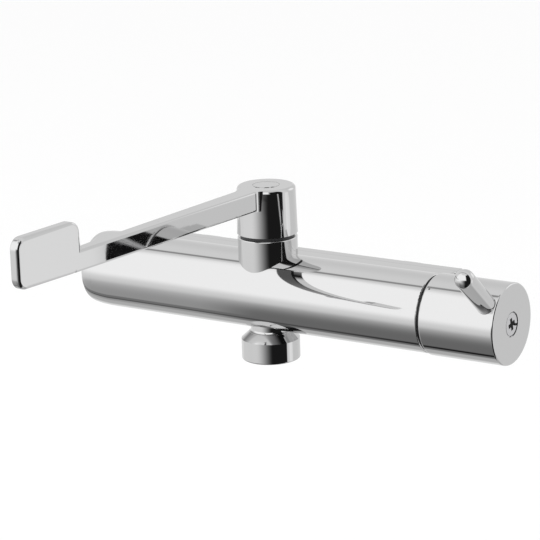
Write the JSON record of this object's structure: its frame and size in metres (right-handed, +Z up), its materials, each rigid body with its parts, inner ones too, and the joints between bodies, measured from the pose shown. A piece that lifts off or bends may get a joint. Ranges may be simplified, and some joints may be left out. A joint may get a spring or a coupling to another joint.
{
  "type": "elbow lever mixer tap",
  "caption": "Chromed thermostatic wall mixer with a long elbow lever on its turret, a temperature knob with a ball-ended pin, and a bell-shaped outlet below.",
  "frame": {"origin": "on the wall side, midway between the ends of the two union nuts", "axes": "+X along the body to the temperature knob, +Y into the wall, +Z up"},
  "size_m": [0.3005, 0.2824, 0.1289],
  "materials": {
    "chrome": "polished chrome plating",
    "steel": "bright steel",
    "brass": "turned brass",
    "rubber": "black rubber",
    "black_plastic": "moulded, matt",
    "ivory_plastic": "moulded, smooth",
    "ceramic": "ground ceramic",
    "copper": "turned copper alloy",
    "index_mark": "small filled dot"
  },
  "bodies": {
    "body": {"body_shell": "chrome", "left_cap": "chrome", "left_cap_seal": "rubber", "rear_gasket": "rubber", "rear_cover": "chrome", "turret_collar": "chrome", "glide_ring": "black_plastic", "headwork_body": "brass", "lower_disc": "ceramic", "seat_seal": "rubber", "gap_ring": "black_plastic", "stop_ring": "black_plastic", "thermostat_housing": "ivory_plastic", "thermostat_nut": "brass", "thermostat_seals": "rubber", "return_spring": "steel", "outlet_neck": "chrome", "outlet_bell": "chrome", "outlet_seal": "rubber", "nipple_left": "brass", "nipple_right": "brass", "washer_left": "rubber", "washer_right": "rubber", "strainer_left": "steel", "strainer_right": "steel", "check_cage_left": "ivory_plastic", "check_cage_right": "ivory_plastic", "check_spring_left": "steel", "check_spring_right": "steel"},
    "lever": {"lever": "chrome", "lever_cap": "chrome", "lever_screw": "steel", "headwork_spindle": "brass", "headwork_clip": "steel", "spindle_seal": "rubber", "upper_disc": "ceramic"},
    "knob": {"knob": "chrome", "knob_insert": "black_plastic", "knob_pin": "chrome", "knob_screw": "steel", "index_dot": "index_mark", "thermostat_spindle": "brass"},
    "element": {"wax_element": "copper", "shuttle": "steel"},
    "nut_left": {"union_nut_left": "chrome"},
    "nut_right": {"union_nut_right": "chrome"},
    "poppet_left": {"check_poppet_left": "ivory_plastic"},
    "poppet_right": {"check_poppet_right": "ivory_plastic"}
  },
  "joints": [
    {"name": "lever_turn", "type": "hinge", "parent": "body", "child": "lever", "pos_m": [0, -0.05, 0.036], "axis": [0, 0, -1], "range_deg": [0, 90]},
    {"name": "knob_turn", "type": "hinge", "parent": "body", "child": "knob", "pos_m": [0.1188, -0.05, 0], "axis": [1, 0, 0], "range_deg": [-80, 70]},
    {"name": "element_slide", "type": "slide", "parent": "body", "child": "element", "axis": [-1, 0, 0], "range_m": [-0.0005, 0.0005]},
    {"name": "nut_left_spin", "type": "hinge", "parent": "body", "child": "nut_left", "pos_m": [-0.075, -0.009, 0], "axis": [0, 1, 0], "continuous": true},
    {"name": "nut_right_spin", "type": "hinge", "parent": "body", "child": "nut_right", "pos_m": [0.075, -0.009, 0], "axis": [0, 1, 0], "continuous": true},
    {"name": "poppet_left_lift", "type": "slide", "parent": "body", "child": "poppet_left", "axis": [0, -1, 0], "range_m": [0, 0.002], "stiffness_N_per_m": 100, "springref_m": -0.002},
    {"name": "poppet_right_lift", "type": "slide", "parent": "body", "child": "poppet_right", "axis": [0, -1, 0], "range_m": [0, 0.002], "stiffness_N_per_m": 100, "springref_m": -0.002}
  ],
  "couplings": [
    {"joint": "element_slide", "follows": "knob_turn", "m_per_rad": 0.000318}
  ]
}
